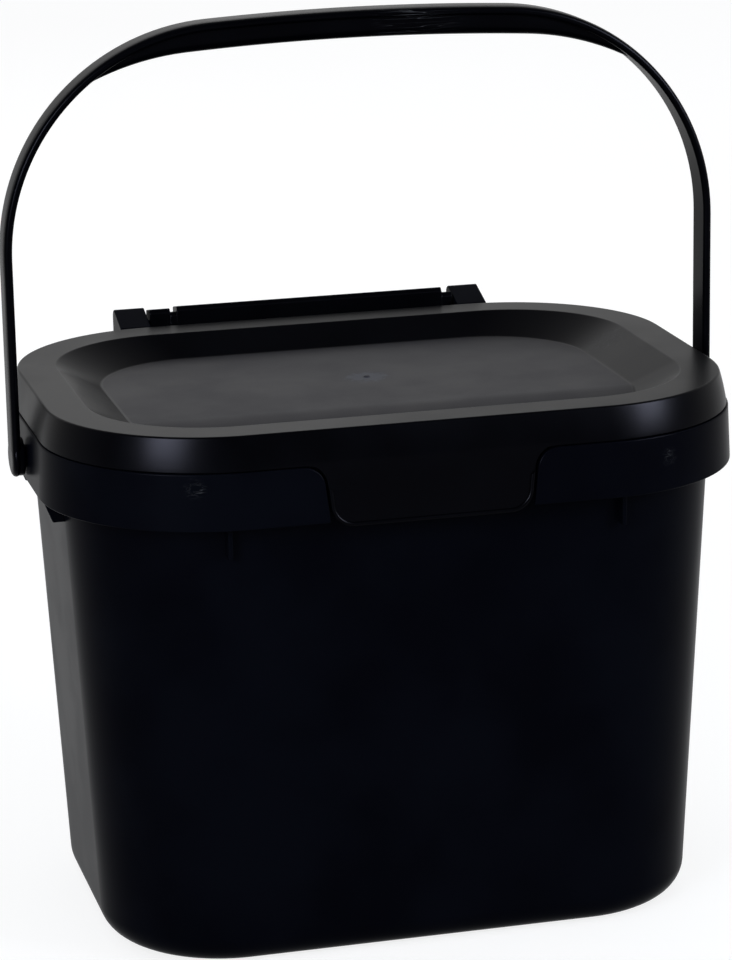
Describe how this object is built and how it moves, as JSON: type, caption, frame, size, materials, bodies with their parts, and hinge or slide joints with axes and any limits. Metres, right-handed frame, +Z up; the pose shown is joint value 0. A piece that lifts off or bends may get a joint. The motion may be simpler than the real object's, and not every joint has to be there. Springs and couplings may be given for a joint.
{
  "type": "compost caddy",
  "caption": "Kitchen compost caddy: a tapered bucket with a rim band, a lid hinged at the back with a latch tab at the front, and an arched handle that swings on side pivots.",
  "frame": {"origin": "centre of the bucket's flat base", "axes": "+X to the right seen from the front, +Y from the front to the hinge at the back, +Z up"},
  "size_m": [0.2522, 0.1921, 0.3142],
  "materials": {
    "bucket_plastic": "black polypropylene, fine satin, as moulded",
    "lid_plastic": "black polypropylene, fine satin, as moulded",
    "handle_plastic": "black polypropylene, smooth satin, as moulded"
  },
  "bodies": {
    "bucket": {"bucket": "bucket_plastic"},
    "lid": {"lid": "lid_plastic"},
    "handle": {"handle": "handle_plastic"}
  },
  "joints": [
    {"name": "lid_hinge", "type": "hinge", "parent": "bucket", "child": "lid", "pos_m": [0, 0.0956, 0.187], "axis": [-1, 0, 0], "range_deg": [0, 36]},
    {"name": "handle_swing", "type": "hinge", "parent": "bucket", "child": "handle", "pos_m": [0, 0, 0.1666], "axis": [1, 0, 0], "range_deg": [-144, 144]}
  ]
}
